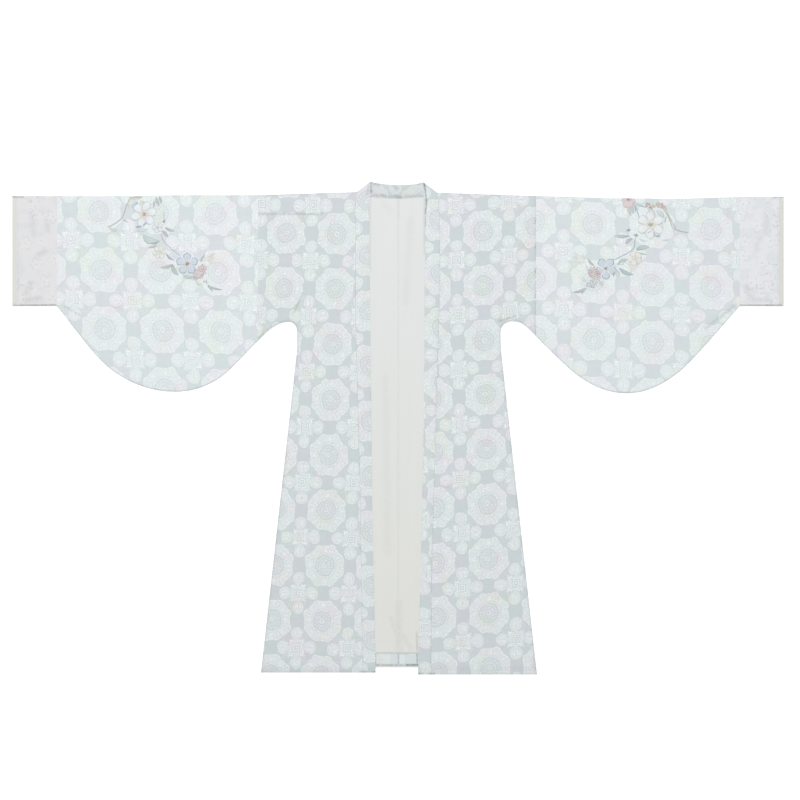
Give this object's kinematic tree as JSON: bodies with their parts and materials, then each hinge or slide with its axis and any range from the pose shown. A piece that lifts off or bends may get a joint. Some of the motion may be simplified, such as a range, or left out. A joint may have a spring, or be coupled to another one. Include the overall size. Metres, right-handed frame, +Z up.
{
  "type": "hanfu robe",
  "caption": "Open-front hanfu robe laid flat, with deep-bellied sleeves, banded collar and opening, straight cuffs and a cream lining.",
  "frame": {"origin": "centre of the robe's box, on the surface that it lies on", "axes": "+Z up out of the surface it lies on, +Y from the hem towards the collar, +X towards the cuff seen on the right"},
  "size_m": [1.8528, 1.1834, 0.0061],
  "materials": {
    "printed_cloth": "pale grey-blue printed crepe with mint, lavender and shell rosettes, soft matte",
    "band_cloth": "the same print on the folded collar bands, soft matte",
    "cuff_cloth": "pale lavender-grey cloth with a faint tone-on-tone floral, soft matte",
    "lining_cloth": "plain cream lining, smooth, faint sheen",
    "embroidery_thread": "coloured satin-stitch thread of the flower sprays, soft sheen",
    "sewing_thread": "matching sewing thread of the seams and hems"
  },
  "bodies": {
    "root": {"back_left": "printed_cloth", "back_right": "printed_cloth", "front_left": "printed_cloth", "front_right": "printed_cloth", "sleeve_left": "printed_cloth", "sleeve_right": "printed_cloth", "back_hem_facing_left": "printed_cloth", "back_hem_facing_right": "printed_cloth", "collar_left": "band_cloth", "collar_right": "band_cloth", "collar_back": "band_cloth", "cuff_left": "cuff_cloth", "cuff_right": "cuff_cloth", "lining_left": "lining_cloth", "lining_right": "lining_cloth", "cuff_lining_left": "lining_cloth", "cuff_lining_right": "lining_cloth"}
  },
  "joints": []
}
